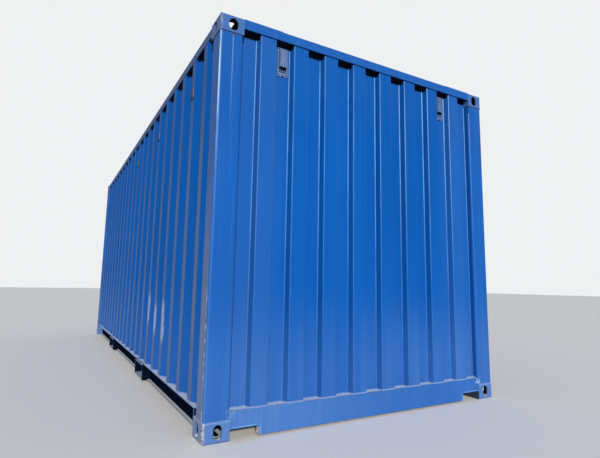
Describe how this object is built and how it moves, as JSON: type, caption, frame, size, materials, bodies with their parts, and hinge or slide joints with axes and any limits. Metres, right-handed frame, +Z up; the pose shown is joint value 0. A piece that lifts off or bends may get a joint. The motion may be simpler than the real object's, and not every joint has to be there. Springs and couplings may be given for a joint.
{
  "type": "shipping container",
  "caption": "Steel shipping container with corrugated walls, stamped roof, corner castings, fork pockets and rear doors with lock bars.",
  "frame": {"origin": "middle of the base, in the plane of the bottom castings' undersides", "axes": "+X along the length, from the blank front end to the doors; +Y across the width, to the left wall; +Z up"},
  "size_m": [6.058, 2.438, 2.591],
  "materials": {
    "wall_paint": "semi-gloss marine blue, dusty and scuffed",
    "casting_paint": "marine blue over cast steel, chipped to rust at the edges",
    "vent_paint": "faded dusty blue",
    "chassis_paint": "dark underside coating",
    "plywood": "sealed marine plywood",
    "galvanised_steel": "zinc coated, worn",
    "door_rubber": "matt black rubber"
  },
  "bodies": {
    "root": {"front_left_bottom_casting": "casting_paint", "front_right_bottom_casting": "casting_paint", "rear_left_bottom_casting": "casting_paint", "rear_right_bottom_casting": "casting_paint", "front_left_top_casting": "casting_paint", "front_right_top_casting": "casting_paint", "rear_left_top_casting": "casting_paint", "rear_right_top_casting": "casting_paint", "front_left_post": "wall_paint", "front_right_post": "wall_paint", "rear_left_post": "wall_paint", "rear_right_post": "wall_paint", "front_top_rail": "wall_paint", "front_bottom_rail": "wall_paint", "door_header": "wall_paint", "door_sill": "wall_paint", "left_top_rail": "wall_paint", "right_top_rail": "wall_paint", "left_bottom_rail": "wall_paint", "right_bottom_rail": "wall_paint", "front_wall": "wall_paint", "left_wall": "wall_paint", "right_wall": "wall_paint", "roof_panel_1": "wall_paint", "roof_panel_2": "wall_paint", "roof_panel_3": "wall_paint", "roof_panel_4": "wall_paint", "roof_panel_5": "wall_paint", "roof_end_plates": "wall_paint", "left_door_frame": "wall_paint", "right_door_frame": "wall_paint", "left_door_panel": "wall_paint", "right_door_panel": "wall_paint", "front_ventilators": "vent_paint", "side_ventilators": "vent_paint", "cross_members": "chassis_paint", "fork_pockets": "chassis_paint", "floor_panels": "plywood", "left_lock_bars": "galvanised_steel", "right_lock_bars": "galvanised_steel", "lock_handles": "galvanised_steel", "bar_brackets": "galvanised_steel", "cam_keepers": "galvanised_steel", "door_hinges": "galvanised_steel", "door_gaskets": "door_rubber"}
  },
  "joints": []
}
